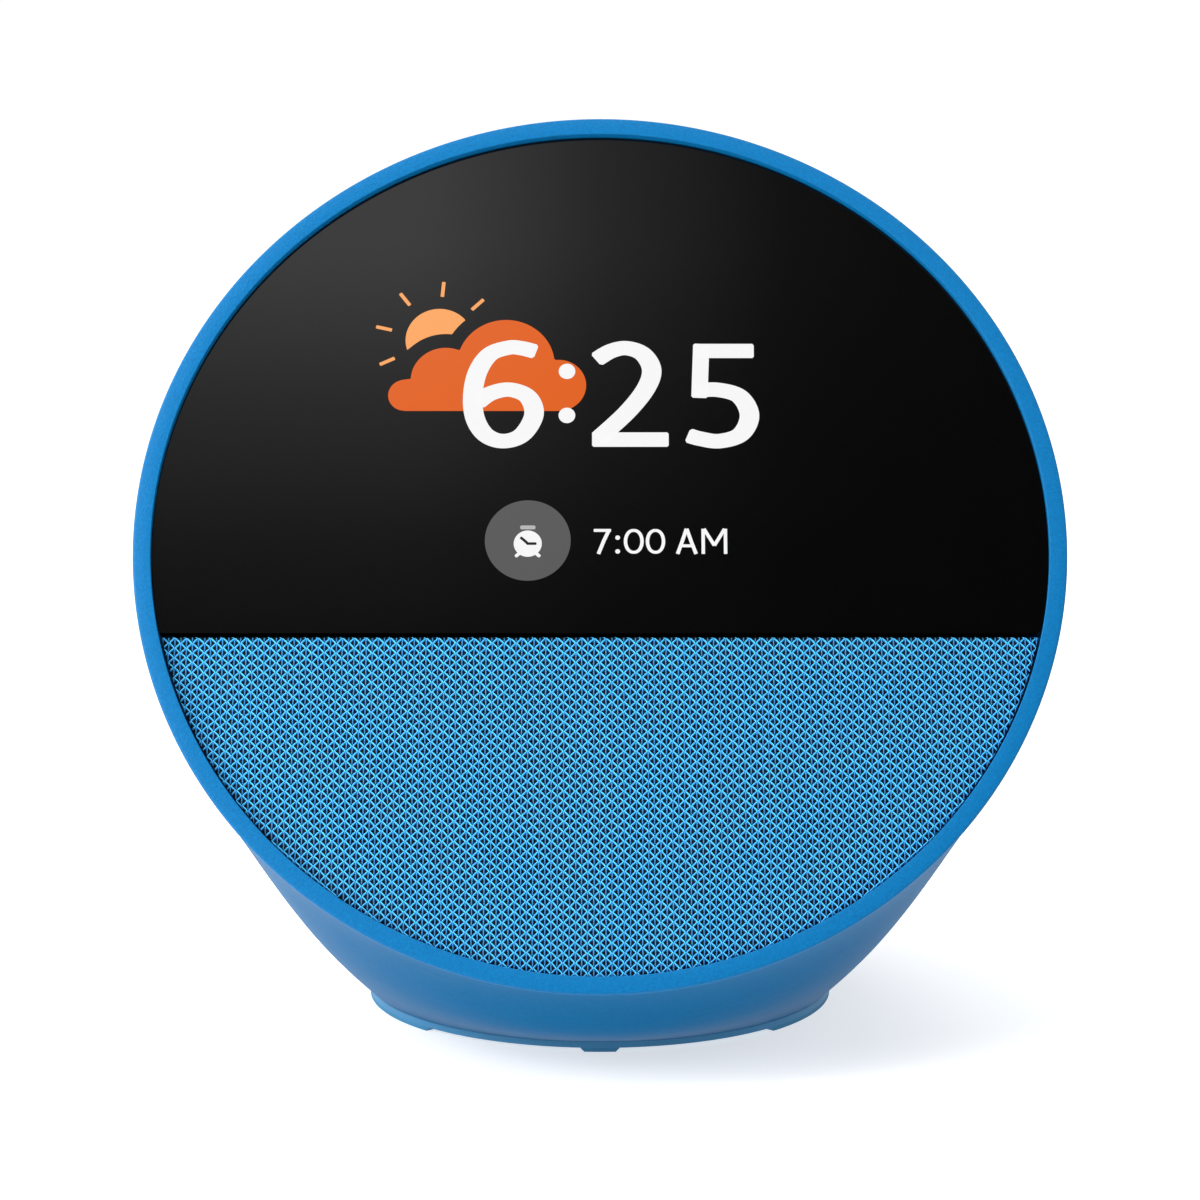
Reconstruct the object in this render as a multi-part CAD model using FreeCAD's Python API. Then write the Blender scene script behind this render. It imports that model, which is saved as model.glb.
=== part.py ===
import FreeCAD, Part
import math
import os

# Desktop smart display: a leaning round face on a deep domed body that tapers to a small base.
# Millimetres, +Z up, front towards -Y, origin under the middle of the body's outline on the table.

Vec = FreeCAD.Vector

# ---- driving dimensions ----
FACE_RADIUS = 56.5          # outer radius of the round front ring
OVERALL_HEIGHT = 111.0
FACE_LEAN = 28.9            # degrees the face leans back from vertical
FACE_Y = -24.2              # y of the face's centre
BACK_Y = -13.05             # centre of the round back profile
BACK_Z = 48.53
BACK_RADIUS = 64.55
BASE_FRONT_Y = -32.22       # front and side reach of the base
BASE_HALF_WIDTH = 29.4
BASE_EDGE_TOP = 1.25        # seam between base plate and body
BASE_EDGE_BOTTOM = 0.5      # underside of the base plate above the table
WALL = 2.2

RING_WIDTH = 2.17
RING_FLANGE = 0.5           # visible depth of the ring's outer edge
GLASS_DEPTH = 0.95          # glass below the ring
GLASS_THICK = 1.4
CHORD_V = -11.7             # line between glass and speaker cloth, below the face's centre
CHORD_GAP = 0.3
LEDGE_DEPTH = 2.9
SKIRT_DEPTH = 4.4

CHASSIS_FRONT = -4.5        # the internal chassis lies between these two depths
CHASSIS_BACK = -6.5
SCREEN_V = 15.0
SCREEN_W = 62.0
SCREEN_H = 47.0

SPEAKER_V = -30.5
COIL_INNER = 9.9
COIL_OUTER = 10.5
MAGNET_RADIUS = 14.0

BUTTON_PITCH = 14.0
BUTTON_DEPTH = -16.0        # behind the face
BUTTON_RADIUS = 4.4
BUTTON_GAP = 0.3
BUTTON_PROUD = 0.25
SWITCH_BOARD_V = 45.5

JACK_Z = 16.0
JACK_FACE_Y = 36.0
POCKET_RADIUS = 5.2
PIN_RADIUS = 0.8
PIN_ROOT_RADIUS = 1.2

# ---- frames worked out from them ----
LEAN = math.radians(FACE_LEAN)
FACE_Z = OVERALL_HEIGHT - FACE_RADIUS * math.cos(LEAN)
FACE = FreeCAD.Placement(Vec(0, FACE_Y, FACE_Z), FreeCAD.Rotation(Vec(1, 0, 0), 90 - FACE_LEAN))
SEAM_BELOW_FACE = FACE_Z - BASE_EDGE_TOP
HINGE_Y = FACE_Y - SEAM_BELOW_FACE * math.tan(LEAN)     # where the face plane meets the seam's level
FAN_ANGLE = math.pi / 2 - LEAN
NEAR_RIM = SEAM_BELOW_FACE / math.cos(LEAN) - FACE_RADIUS
NEAR_BASE = BASE_FRONT_Y - HINGE_Y
BASE_BACK_Y = BACK_Y + math.sqrt(BACK_RADIUS ** 2 - (BACK_Z - BASE_EDGE_TOP) ** 2)
BASE_MIDDLE_Y = (BASE_BACK_Y + BASE_FRONT_Y) / 2
CHASSIS_RADIUS = FACE_RADIUS - RING_WIDTH - 1.73
INNER_RADIUS = FACE_RADIUS - RING_WIDTH


def save(name, shape):
    shape.exportStep("parts/%s.step" % name)


def on_face(shape):
    """Move a shape drawn in face coordinates (x right, y up the face, z out of it) into place."""
    placed = shape.copy()
    placed.Placement = FACE.multiply(placed.Placement)
    return placed


def box(x0, x1, y0, y1, z0, z1):
    return Part.makeBox(x1 - x0, y1 - y0, z1 - z0, Vec(x0, y0, z0))


def rod(radius, x, y, z0, z1):
    return Part.makeCylinder(radius, z1 - z0, Vec(x, y, z0))


def rod_up(radius, x, v0, v1, depth):
    """Cylinder along the face's own up direction."""
    return Part.makeCylinder(radius, v1 - v0, Vec(x, v0, depth), Vec(0, 1, 0))


def tube(outer, inner, x, y, z0, z1):
    return rod(outer, x, y, z0, z1).cut(rod(inner, x, y, z0 - 1, z1 + 1))


def turned(profile, x=0.0, y=0.0):
    """Solid turned about the z direction from (radius, z) points."""
    wire = Part.makePolygon([Vec(r, 0, z) for r, z in profile + profile[:1]])
    solid = Part.Face(wire).revolve(Vec(0, 0, 0), Vec(0, 0, 1), 360)
    solid.translate(Vec(x, y, 0))
    return solid


def rounded_plate(w, h, r, cx, cy, z0, z1):
    plate = box(cx - w / 2, cx + w / 2, cy - h / 2, cy + h / 2, z0, z1)
    upright = [e for e in plate.Edges if abs(e.tangentAt(e.FirstParameter).z) > 0.99]
    return plate.makeFillet(r, upright)


def cable(points, radius):
    """Round cable through a few points."""
    runs = [Vec(*p) for p in points]
    solid = Part.makeSphere(radius, runs[0])
    for start, end in zip(runs, runs[1:]):
        run = Part.makeCylinder(radius, (end - start).Length, start, end - start)
        solid = solid.fuse([run, Part.makeSphere(radius, end)])
    return solid.removeSplitter()


# ---- the body's form: sections that fan from the leaning face down to the level base ----
def fan_section(sweep, wall):
    """Closed curve of the body at a share of the sweep (0 at the face, 1 at the base)."""
    angle = FAN_ANGLE * (1 - sweep)
    toward = (math.cos(angle), math.sin(angle))
    to_back = (BACK_Y - HINGE_Y, BACK_Z - BASE_EDGE_TOP)
    along = to_back[0] * toward[0] + to_back[1] * toward[1]
    off = to_back[0] ** 2 + to_back[1] ** 2 - BACK_RADIUS ** 2
    far = along + math.sqrt(along ** 2 - off) - wall
    near = NEAR_RIM + (NEAR_BASE - NEAR_RIM) * sweep ** 7 + wall
    half_width = FACE_RADIUS + (BASE_HALF_WIDTH - FACE_RADIUS) * sweep ** 1.8 - wall
    middle, half_depth = (near + far) / 2, (far - near) / 2
    points = []
    for step in range(36):
        turn = math.radians(step * 10)
        reach = middle + half_depth * math.cos(turn)
        points.append(Vec(half_width * math.sin(turn), HINGE_Y + reach * toward[0],
                          BASE_EDGE_TOP + reach * toward[1]))
    curve = Part.BSplineCurve()
    curve.interpolate(Points=points, PeriodicFlag=True)
    return Part.Wire(curve.toShape())


def fan_body(wall):
    sweeps = [i / 12 for i in range(13)]
    return Part.makeLoft([fan_section(s, wall) for s in sweeps], True)


def base_outline(inset, z0, z1):
    """Upright solid on the base's outline, made smaller by the inset."""
    half_depth = (BASE_BACK_Y - BASE_FRONT_Y) / 2 - inset
    ellipse = Part.Ellipse(Vec(0, BASE_MIDDLE_Y + half_depth, z0), Vec(BASE_HALF_WIDTH - inset, BASE_MIDDLE_Y, z0),
                           Vec(0, BASE_MIDDLE_Y, z0))
    return Part.Face(Part.Wire(ellipse.toShape())).extrude(Vec(0, 0, z1 - z0))


BODY = fan_body(0)
CAVITY = fan_body(WALL)


def top_of(solid, x):
    """Height up the face where the button line at x leaves a solid."""
    line = on_face(Part.makeLine(Vec(x, 0, BUTTON_DEPTH), Vec(x, 80, BUTTON_DEPTH))).common(solid)
    ends = [FACE.inverse().multVec(v.Point).y for v in line.Vertexes]
    return max(ends)


BUTTON_X = {"volume_down": -BUTTON_PITCH, "mic_mute": 0.0, "volume_up": BUTTON_PITCH}
CHASSIS_SCREWS = [(-45, 16.4), (45, 16.4), (-36, -32), (36, -32)]
ENCLOSURE_SCREWS = [(-18.5, -12), (18.5, -12), (-21.5, -45), (21.5, -45)]
BOARD_SCREWS = [(-34, -0.5), (34, -0.5), (-34, 30.5), (34, 30.5)]
BASE_SCREWS = [(-16.5, -19), (16.5, -19), (-16.5, 16.5), (16.5, 16.5)]
MIC_X = [-7.0, 7.0]
BOARD_POST_X = [-22.0, 22.0]


# ---- casing ----
def rear_housing():
    shell = BODY.cut(CAVITY)
    shell = shell.cut(on_face(rod(70, 0, 0, -RING_FLANGE - 0.05, 5)))
    shell = shell.cut(on_face(rod(INNER_RADIUS + 1.15, 0, 0, -SKIRT_DEPTH - 0.1, 0)))
    shell = shell.cut(box(-70, 70, -70, 70, -5, BASE_EDGE_TOP + 0.05))
    bosses = [on_face(rod(3.0, x, v, -75, CHASSIS_BACK - 0.05)) for x, v in CHASSIS_SCREWS]
    posts = [on_face(rod_up(2.0, x, SWITCH_BOARD_V + 1.25, 70, BUTTON_DEPTH)) for x in BOARD_POST_X]
    flange = base_outline(-4, 3.9, 5.4).cut(base_outline(8.5, 3, 6))
    inside = [piece.common(BODY) for piece in bosses + posts + [flange]]
    pocket = Part.makeCylinder(POCKET_RADIUS + 1.7, 20, Vec(0, JACK_FACE_Y, JACK_Z), Vec(0, 1, 0))
    shell = shell.fuse(inside + [pocket.common(BODY)])
    cuts = [on_face(rod(1.1, x, v, -16, 0)) for x, v in CHASSIS_SCREWS]
    cuts += [on_face(rod_up(0.8, x, 40, 51.5, BUTTON_DEPTH)) for x in BOARD_POST_X]
    cuts += [on_face(rod_up(BUTTON_RADIUS + BUTTON_GAP, x, 50, 70, BUTTON_DEPTH))
             for x in BUTTON_X.values()]
    cuts += [on_face(rod_up(0.5, x, 50, 70, BUTTON_DEPTH)) for x in MIC_X]
    cuts += [rod(0.95, x, y, 3, 6) for x, y in BASE_SCREWS]
    cuts.append(Part.makeCylinder(POCKET_RADIUS, 25, Vec(0, JACK_FACE_Y - 1, JACK_Z), Vec(0, 1, 0)))
    for cut in cuts:
        shell = shell.cut(cut)
    return max(shell.Solids, key=lambda s: s.Volume)


def bezel_ring():
    r0, r1 = INNER_RADIUS, FACE_RADIUS
    edge = 0.25
    return on_face(turned([
        (r0 + 0.12, 0), (r1 - edge, 0), (r1 - 0.07, -0.07), (r1, -edge), (r1, -RING_FLANGE),
        (r0 + 1.07, -RING_FLANGE), (r0 + 1.07, -SKIRT_DEPTH), (r0 - 1.5, -SKIRT_DEPTH),
        (r0 - 1.5, -LEDGE_DEPTH), (r0, -LEDGE_DEPTH), (r0, -0.12)]))


def base_plate():
    rim = base_outline(0, BASE_EDGE_BOTTOM, BASE_EDGE_TOP)
    plug = base_outline(3.4, BASE_EDGE_TOP, 3.8)
    plate = rim.fuse(plug).removeSplitter()
    for x, y in BASE_SCREWS:
        plate = plate.cut(rod(1.15, x, y, 0, 5)).cut(rod(2.3, x, y, 0, 2.0))
    return plate.cut(Part.makeCompound([foot_tongue(a, s) for a, s in FOOT_PADS]))


# middle angle from the front and angle spanned: a short pad front and back, a long one each side
FOOT_PADS = [(0, 8.6), (90, 92), (180, 8.6), (270, 92)]


def base_band(outside, inside, z0, z1, angle, span):
    """Part of a level band between two insets of the base outline, over an angle seen from above."""
    band = base_outline(outside, z0, z1).cut(base_outline(inside, -1, 3))
    middle = Vec(0, BASE_MIDDLE_Y, 0)
    a0, a1 = math.radians(angle - span / 2), math.radians(angle + span / 2)
    sides = [middle + Vec(60 * math.sin(a), -60 * math.cos(a), 0) for a in (a0, a1)]
    wedge = Part.Face(Part.makePolygon([middle] + sides + [middle])).extrude(Vec(0, 0, 3))
    return band.common(wedge)


def foot_tongue(angle, span):
    return base_band(0.9, 3.6, BASE_EDGE_BOTTOM, 0.9, angle, span - 4)


def foot_pad(angle, span):
    """Low pad flush with the plate's edge, its ends sloped, held by a tongue in the plate."""
    pad = base_band(0, 4.5, 0, BASE_EDGE_BOTTOM, angle, span)
    ends = [e for e in pad.Edges if e.CenterOfMass.z < 0.001 and e.Curve.TypeId == "Part::GeomLine"]
    return pad.makeChamfer(0.45, ends).fuse(foot_tongue(angle, span)).removeSplitter()


def base_screw(x, y):
    return rod(2.1, x, y, 0.7, 2.0).cut(box(x - 0.3, x + 0.3, y - 1.3, y + 1.3, 0, 1.2)).fuse(
        rod(0.9, x, y, 2.0, 7.5))


def base_weight():
    return base_outline(9.5, 3.9, 24).cut(box(-40, 40, -60, -2, 0, 30))


# ---- front: glass, screen and cloth ----
def face_segment(radius, above, edge, z0, z1, corner=1.0):
    """Part of a disc above (or below) a level edge, with its two corners rounded."""
    disc = rod(radius, 0, 0, z0, z1)
    keep = box(-60, 60, edge, 60, z0, z1) if above else box(-60, 60, -60, edge, z0, z1)
    part = disc.common(keep)
    corners = [e for e in part.Edges if e.Length < (z1 - z0) + 0.01
               and abs(e.tangentAt(e.FirstParameter).z) > 0.99
               and abs(e.CenterOfMass.y - edge) < 0.5 and abs(e.CenterOfMass.x) > 10]
    return part.makeFillet(corner, corners) if corner else part


def cover_glass():
    front = -GLASS_DEPTH
    return on_face(face_segment(INNER_RADIUS - 0.12, True, CHORD_V + CHORD_GAP / 2,
                                front - GLASS_THICK, front, 0.5))


def glass_adhesive():
    top = -GLASS_DEPTH - GLASS_THICK - 0.03
    outer = face_segment(INNER_RADIUS - 0.3, True, CHORD_V + 0.4, -LEDGE_DEPTH + 0.02, top, 0)
    inner = face_segment(INNER_RADIUS - 2.2, True, -9.9, -5, 0, 0)
    return on_face(outer.cut(inner))


def touch_sensor():
    return on_face(rounded_plate(SCREEN_W, SCREEN_H, 1.0, 0, SCREEN_V, -2.65, -2.38))


def lcd_panel():
    return on_face(rounded_plate(SCREEN_W, SCREEN_H, 0.8, 0, SCREEN_V, -4.1, -2.7))


def backlight_unit():
    return on_face(rounded_plate(SCREEN_W, SCREEN_H, 0.8, 0, SCREEN_V, -5.85, -4.15))


def lcd_bracket():
    tray = rounded_plate(SCREEN_W, SCREEN_H, 0.8, 0, SCREEN_V, -6.4, -5.9)
    for x in (-16, 16):
        tray = tray.cut(rod(6, x, SCREEN_V, -8, 0))
    return on_face(tray)


def display_flex():
    v, turn = -8.82, -12.0
    path = [(v, -4.4), (v + 0.12, -4.4), (v + 0.12, turn + 0.06), (-2.2, turn + 0.06), (-2.2, turn - 0.06),
            (v, turn - 0.06)]
    wire = Part.makePolygon([Vec(24, y, z) for y, z in path + path[:1]])
    return on_face(Part.Face(wire).extrude(Vec(6, 0, 0)))


def light_sensor():
    board = box(-4, 4, 44, 48, -4.4, -3.8)
    return on_face(board.fuse(box(-1.2, 1.2, 45, 47, -3.8, -2.9)))


def speaker_fabric():
    return on_face(face_segment(INNER_RADIUS - 0.2, False, CHORD_V - CHORD_GAP / 2, -1.65, -0.95, 1.2))


def grille_plate():
    """Stiff perforated plate that carries the cloth."""
    radius, edge, pitch = INNER_RADIUS - 0.3, CHORD_V - 0.3, 4.4
    half_chord = math.sqrt(radius ** 2 - edge ** 2)
    chord = Part.makeLine(Vec(-half_chord, edge, 0), Vec(half_chord, edge, 0))
    bow = Part.Arc(Vec(half_chord, edge, 0), Vec(0, -radius, 0), Vec(-half_chord, edge, 0)).toShape()
    wires = [Part.Wire([chord, bow])]
    row = 0
    v = edge - 4.0
    while v > -radius:
        shift = pitch / 2 if row % 2 else 0.0
        for column in range(-12, 13):
            x = column * pitch + shift
            if math.hypot(x, v) < radius - 4.0:
                wires.append(Part.Wire(Part.makeCircle(1.5, Vec(x, v, 0))))
        v -= pitch * math.sqrt(3) / 2
        row += 1
    plate = Part.Face(wires, "Part::FaceMakerBullseye").extrude(Vec(0, 0, 1.15))
    plate.translate(Vec(0, 0, -2.87))
    return on_face(plate)


def front_chassis():
    disc = rod(CHASSIS_RADIUS, 0, 0, CHASSIS_BACK, CHASSIS_FRONT)
    bar = box(-60, 60, -13.6, -9.7, CHASSIS_FRONT, -LEDGE_DEPTH - 0.02).common(
        rod(CHASSIS_RADIUS, 0, 0, -10, 0))
    posts = [rod(2.6, x, v, -12.95, CHASSIS_BACK) for x, v in BOARD_SCREWS]
    bosses = [rod(2.2, x, v, CHASSIS_BACK, CHASSIS_FRONT + 1.3) for x, v in ENCLOSURE_SCREWS]
    chassis = disc.fuse([bar] + posts + bosses)
    chassis = chassis.cut(box(-31.5, 31.5, -9, 39, -10, 0))
    chassis = chassis.cut(rod(19.8, 0, SPEAKER_V, -10, 0))
    for x, v in CHASSIS_SCREWS:
        chassis = chassis.cut(rod(1.5, x, v, -10, 0))
    for x, v in BOARD_SCREWS:
        chassis = chassis.cut(rod(1.0, x, v, -14, -7.5))
    for x, v in ENCLOSURE_SCREWS:
        chassis = chassis.cut(rod(1.1, x, v, -7, -3.6))
    return on_face(chassis)


def pan_screw(x, v, seat, length, radius, outward):
    """Pan-head screw whose head rests at the seat depth, shank running away from the head."""
    side = 1 if outward else -1
    head = rod(radius * 1.9, x, v, min(seat, seat + side * 1.3), max(seat, seat + side * 1.3))
    shank = rod(radius, x, v, min(seat, seat - side * length), max(seat, seat - side * length))
    tip = seat + side * 1.3
    slot = box(x - 1.0, x + 1.0, v - 0.25, v + 0.25, min(tip, tip - side * 0.6), max(tip, tip - side * 0.6))
    return head.fuse(shank).cut(slot)


# ---- loudspeaker, turned about its own axis ----
def speaker_basket():
    basket = turned([(17.2, -6.95), (21.5, -6.95), (21.5, -8.1), (20.0, -8.1), (16.6, -14.5), (16.6, -16.0),
                     (11.6, -16.0), (11.6, -14.9), (15.5, -14.9), (15.5, -13.0), (18.9, -8.1), (17.2, -8.1)],
                    0, SPEAKER_V)
    for step in range(6):
        turn = math.radians(step * 60 + 30)
        window = Part.makeCylinder(2.4, 12, Vec(0, SPEAKER_V, -11.6), Vec(math.cos(turn), math.sin(turn), 0))
        window.translate(Vec(12 * math.cos(turn), 12 * math.sin(turn), 0))
        basket = basket.cut(window)
    return on_face(basket)


def voice_coil():
    return on_face(tube(COIL_OUTER, COIL_INNER, 0, SPEAKER_V, -20.0, -10.5))


def speaker_cone():
    return on_face(turned([(10.6, -11.2), (10.6, -10.5), (16.3, -7.3), (16.6, -7.3), (16.6, -7.7), (11.1, -11.2)],
                          0, SPEAKER_V))


def dust_cap():
    radius, height, skin = 10.45, 3.2, 0.4
    ball = (radius ** 2 + height ** 2) / (2 * height)
    centre = Vec(0, SPEAKER_V, -10.45 + height - ball)
    dome = Part.makeSphere(ball, centre).cut(Part.makeSphere(ball - skin, centre))
    return on_face(dome.common(rod(radius, 0, SPEAKER_V, -10.45, 0)))


def surround():
    """Half roll of rubber between cone and basket."""
    roll, skin, middle, rim = 1.2, 0.4, 18.0, -6.85
    steps = 8
    arc = [math.pi * i / steps for i in range(steps + 1)]
    outer = [(middle + roll * math.cos(t), rim + roll * math.sin(t)) for t in arc]
    inner = [(middle + (roll - skin) * math.cos(t), rim + (roll - skin) * math.sin(t)) for t in reversed(arc)]
    return on_face(turned(outer + inner, 0, SPEAKER_V))


def spider():
    """Corrugated cloth washer that centres the voice coil."""
    skin, inner, outer, level = 0.3, 10.65, 15.4, -12.6
    waves = 24
    radii = [inner + (outer - inner) * i / waves for i in range(waves + 1)]
    top = [(r, level + 0.35 * math.sin(4 * math.pi * (r - inner) / (outer - inner))) for r in radii]
    bottom = [(r, z - skin) for r, z in reversed(top)]
    return on_face(turned(top + bottom, 0, SPEAKER_V))


def speaker_enclosure():
    cup = turned([(21.7, -6.6), (23.2, -6.6), (23.2, -18.2), (17.3, -18.2), (17.3, -29), (0, -29),
                  (0, -27.6), (15.8, -27.6), (15.8, -16.8), (20.6, -16.8), (20.6, -8.2), (21.7, -8.2)],
                 0, SPEAKER_V)
    ears = [rod(2.6, x, v, -8.6, -6.6) for x, v in ENCLOSURE_SCREWS]
    cup = cup.fuse(ears).cut(rod(21.7, 0, SPEAKER_V, -8.2, 0))
    for x, v in ENCLOSURE_SCREWS:
        cup = cup.cut(rod(1.15, x, v, -12, 0))
    return on_face(cup.cut(rod(1.3, 12, SPEAKER_V, -32, -26)))


def speaker_leads():
    wires = [cable([(12 + d, SPEAKER_V, -27.9), (12 + d, SPEAKER_V, -31), (13 + d, -6.3, -31),
                    (13 + d, -6.3, -16), (13 + d, 0, -16)], 0.4) for d in (-0.5, 0.5)]
    return on_face(Part.makeCompound(wires))


# ---- electronics ----
def main_board():
    board = rounded_plate(74, 38, 1.5, 0, 15, -14.6, -13)
    for x, v in BOARD_SCREWS:
        board = board.cut(rod(1.25, x, v, -20, 0))
    return on_face(board)


def shield_can():
    can = rounded_plate(40, 24, 1.0, -8, 17, -17.4, -14.65)
    return on_face(can.cut(box(-27.7, 11.7, 5.3, 28.7, -17.1, -14)))


def heat_spreader():
    plate = rounded_plate(64, 34, 2, 0, 16, -20.4, -18.6)
    fins = [box(-30, 30, v, v + 1.2, -25, -20.4) for v in (2, 8, 14, 20, 26)]
    return on_face(plate.fuse(fins))


def button_board():
    board = box(-24.5, 24.5, SWITCH_BOARD_V, SWITCH_BOARD_V + 1.2, BUTTON_DEPTH - 5.5, BUTTON_DEPTH + 5.5)
    for x in BOARD_POST_X:
        board = board.cut(rod_up(1.0, x, 40, 50, BUTTON_DEPTH))
    return on_face(board)


def tact_switch(x):
    base = SWITCH_BOARD_V + 1.25
    body = box(x - 3, x + 3, base, base + 2.9, BUTTON_DEPTH - 3, BUTTON_DEPTH + 3)
    return on_face(body.cut(rod_up(1.9, x, base + 0.65, base + 4, BUTTON_DEPTH)))


def plunger(x):
    base = SWITCH_BOARD_V + 1.25
    return on_face(rod_up(1.6, x, base + 1.45, base + 3.9, BUTTON_DEPTH))


def button(x):
    """Button whose crown follows the body, with a flange below the wall and a stem to its switch."""
    outer_side = abs(x) + BUTTON_RADIUS + 0.9
    flange_top = top_of(CAVITY, math.copysign(outer_side, x)) - 0.9
    stem_foot = SWITCH_BOARD_V + 5.2
    crown = on_face(rod_up(BUTTON_RADIUS, x, flange_top - 0.4, 70, BUTTON_DEPTH)).common(BODY)
    crown.translate(FACE.Rotation.multVec(Vec(0, BUTTON_PROUD, 0)))
    flange = rod_up(BUTTON_RADIUS + 0.7, x, flange_top - 0.8, flange_top, BUTTON_DEPTH)
    stem = rod_up(1.3, x, stem_foot, flange_top - 0.4, BUTTON_DEPTH)
    return crown.fuse([on_face(flange), on_face(stem)]).removeSplitter()


def microphone(x):
    base = SWITCH_BOARD_V + 1.25
    body = box(x - 1.75, x + 1.75, base, base + 1.0, BUTTON_DEPTH - 1.3, BUTTON_DEPTH + 1.3)
    return on_face(body)


def mic_gasket(x):
    foot, top = SWITCH_BOARD_V + 2.3, top_of(CAVITY, math.copysign(abs(x) + 1.6, x)) - 0.1
    return on_face(rod_up(1.6, x, foot, top, BUTTON_DEPTH).cut(rod_up(0.55, x, 40, 70, BUTTON_DEPTH)))


# ---- power inlet ----
def jack_rod(radius, y0, y1):
    return Part.makeCylinder(radius, y1 - y0, Vec(0, y0, JACK_Z), Vec(0, 1, 0))


def power_jack():
    body = box(-5, 5, JACK_FACE_Y - 12.5, JACK_FACE_Y - 1.6, JACK_Z - 5.5, JACK_Z + 5.5)
    flange = jack_rod(6.6, JACK_FACE_Y - 1.6, JACK_FACE_Y - 0.05)
    jack = body.fuse(flange).cut(jack_rod(2.8, JACK_FACE_Y - 9.5, JACK_FACE_Y + 1))
    return jack.cut(jack_rod(PIN_ROOT_RADIUS + 0.02, JACK_FACE_Y - 13, JACK_FACE_Y - 9))


def jack_center_pin():
    nose = Part.makeSphere(PIN_RADIUS, Vec(0, JACK_FACE_Y - 1.8, JACK_Z))
    root = jack_rod(PIN_ROOT_RADIUS, JACK_FACE_Y - 12.4, JACK_FACE_Y - 9.5)
    return jack_rod(PIN_RADIUS, JACK_FACE_Y - 9.5, JACK_FACE_Y - 1.8).fuse([nose, root]).removeSplitter()


def power_board():
    return box(-12, 12, 22.8, 33.5, 8.9, 10.4)


def power_cable():
    return cable([(-9, 26, 11.6), (-9, 26, 16), (-34.8, 14, 44), (-34.8, -5.6, 60.6)], 1.0)


PIECES = {
    "rear_housing": rear_housing,
    "bezel_ring": bezel_ring,
    "base_plate": base_plate,
    "foot_pads": lambda: Part.makeCompound([foot_pad(a, s) for a, s in FOOT_PADS]),
    "base_screws": lambda: Part.makeCompound([base_screw(x, y) for x, y in BASE_SCREWS]),
    "base_weight": base_weight,
    "cover_glass": cover_glass,
    "glass_adhesive": glass_adhesive,
    "touch_sensor": touch_sensor,
    "lcd_panel": lcd_panel,
    "backlight_unit": backlight_unit,
    "lcd_bracket": lcd_bracket,
    "display_flex": display_flex,
    "display_connector": lambda: on_face(box(23.7, 30.3, -2.1, 0.4, -12.95, -11.8)),
    "light_sensor": light_sensor,
    "speaker_fabric": speaker_fabric,
    "grille_plate": grille_plate,
    "front_chassis": front_chassis,
    "chassis_screws": lambda: on_face(Part.makeCompound(
        [pan_screw(x, v, CHASSIS_FRONT, 8.5, 1.05, True) for x, v in CHASSIS_SCREWS])),
    "speaker_gasket": lambda: on_face(tube(21.4, 19.9, 0, SPEAKER_V, -6.9, -6.55)),
    "speaker_basket": speaker_basket,
    "speaker_top_plate": lambda: on_face(tube(MAGNET_RADIUS, COIL_OUTER + 0.4, 0, SPEAKER_V, -18.5, -16.05)),
    "speaker_magnet": lambda: on_face(tube(MAGNET_RADIUS, 11.5, 0, SPEAKER_V, -23.5, -18.55)),
    "speaker_yoke": lambda: on_face(turned([(0, -16), (COIL_INNER - 0.4, -16), (COIL_INNER - 0.4, -23.55),
                                            (MAGNET_RADIUS, -23.55), (MAGNET_RADIUS, -26), (0, -26)],
                                           0, SPEAKER_V)),
    "voice_coil": voice_coil,
    "speaker_cone": speaker_cone,
    "dust_cap": dust_cap,
    "surround": surround,
    "spider": spider,
    "speaker_enclosure": speaker_enclosure,
    "enclosure_screws": lambda: on_face(Part.makeCompound(
        [pan_screw(x, v, -8.65, 4.3, 1.0, False) for x, v in ENCLOSURE_SCREWS])),
    "speaker_leads": speaker_leads,
    "speaker_connector": lambda: on_face(box(10.5, 15.5, 0.5, 4.5, -17.4, -14.65)),
    "main_board": main_board,
    "processor": lambda: on_face(box(-20, -6, 10, 24, -16.0, -14.65)),
    "memory_chip": lambda: on_face(box(-3, 9, 11, 23, -15.8, -14.65)),
    "wireless_module": lambda: on_face(box(16, 32, 8, 20, -16.8, -14.65)),
    "shield_can": shield_can,
    "thermal_pad": lambda: on_face(box(-25, 9, 7, 27, -18.55, -17.45)),
    "heat_spreader": heat_spreader,
    "board_screws": lambda: on_face(Part.makeCompound(
        [pan_screw(x, v, -14.65, 6.0, 0.95, False) for x, v in BOARD_SCREWS])),
    "antenna_left": lambda: on_face(box(-26, -10, 41, 45.5, -7.35, -6.55)),
    "antenna_right": lambda: on_face(box(10, 26, 41, 45.5, -7.35, -6.55)),
    "button_board": button_board,
    "tact_switches": lambda: Part.makeCompound([tact_switch(x) for x in BUTTON_X.values()]),
    "microphones": lambda: Part.makeCompound([microphone(x) for x in MIC_X]),
    "mic_gaskets": lambda: Part.makeCompound([mic_gasket(x) for x in MIC_X]),
    "power_jack": power_jack,
    "jack_center_pin": jack_center_pin,
    "power_board": power_board,
    "power_cable": power_cable,
}

os.makedirs("parts", exist_ok=True)
for node, build in PIECES.items():
    save(node, build())
for node, x in BUTTON_X.items():
    save(node + "_button", button(x))
    save(node + "_plunger", plunger(x))
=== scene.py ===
import bpy, bmesh
import numpy as np
from math import acos, asin, atan2, cos, hypot, pi, radians, sin, sqrt
from mathutils import Matrix, Vector


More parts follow.
